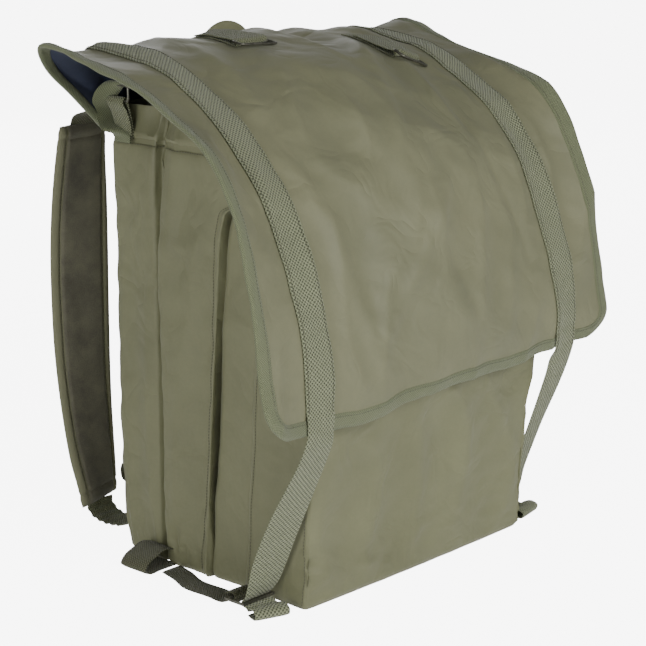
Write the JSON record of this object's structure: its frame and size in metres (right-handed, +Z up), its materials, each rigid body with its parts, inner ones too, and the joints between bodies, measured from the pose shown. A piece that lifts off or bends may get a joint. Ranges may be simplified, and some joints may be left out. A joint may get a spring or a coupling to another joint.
{
  "type": "army backpack",
  "caption": "Large soldier's backpack with a wide strapped lid, a front pocket, padded shoulder straps and a carry handle.",
  "frame": {"origin": "middle of the base on the ground, where the pack stands", "axes": "+Z up, -Y towards the lid's front, +Y towards the wearer's back, +X to the right seen from the front"},
  "size_m": [0.5713, 0.4473, 0.5836],
  "materials": {
    "coated_nylon": "plain-woven nylon with a matt polyurethane coating, olive brown",
    "lining": "matt dark blue woven lining",
    "webbing": "coarse woven webbing and tape, grey green",
    "pad_cloth": "matt woven cloth over foam, dark olive",
    "steel": "steel wire and plate with worn olive lacquer"
  },
  "bodies": {
    "root": {"main_bag": "coated_nylon", "front_pocket": "coated_nylon", "lid": "coated_nylon", "lid_lining": "lining", "lid_binding": "webbing", "carry_handle": "coated_nylon", "lid_strap_left": "webbing", "lid_strap_right": "webbing", "ladder_lock_left": "steel", "ladder_lock_right": "steel", "base_strap_left": "webbing", "base_strap_right": "webbing", "top_tab_left": "webbing", "top_tab_right": "webbing", "tab_link_left": "steel", "tab_link_right": "steel", "shoulder_pad_left": "pad_cloth", "shoulder_pad_right": "pad_cloth", "shoulder_upper_strap_left": "webbing", "shoulder_upper_strap_right": "webbing", "shoulder_lower_strap_left": "webbing", "shoulder_lower_strap_right": "webbing", "corner_tab_left": "webbing", "corner_tab_right": "webbing", "wire_slide_left": "steel", "wire_slide_right": "steel", "corner_loop_left": "webbing", "corner_loop_right": "webbing", "base_loop_left": "webbing", "base_loop_right": "webbing", "side_keeper_left": "webbing", "side_keeper_right": "webbing"}
  },
  "joints": []
}
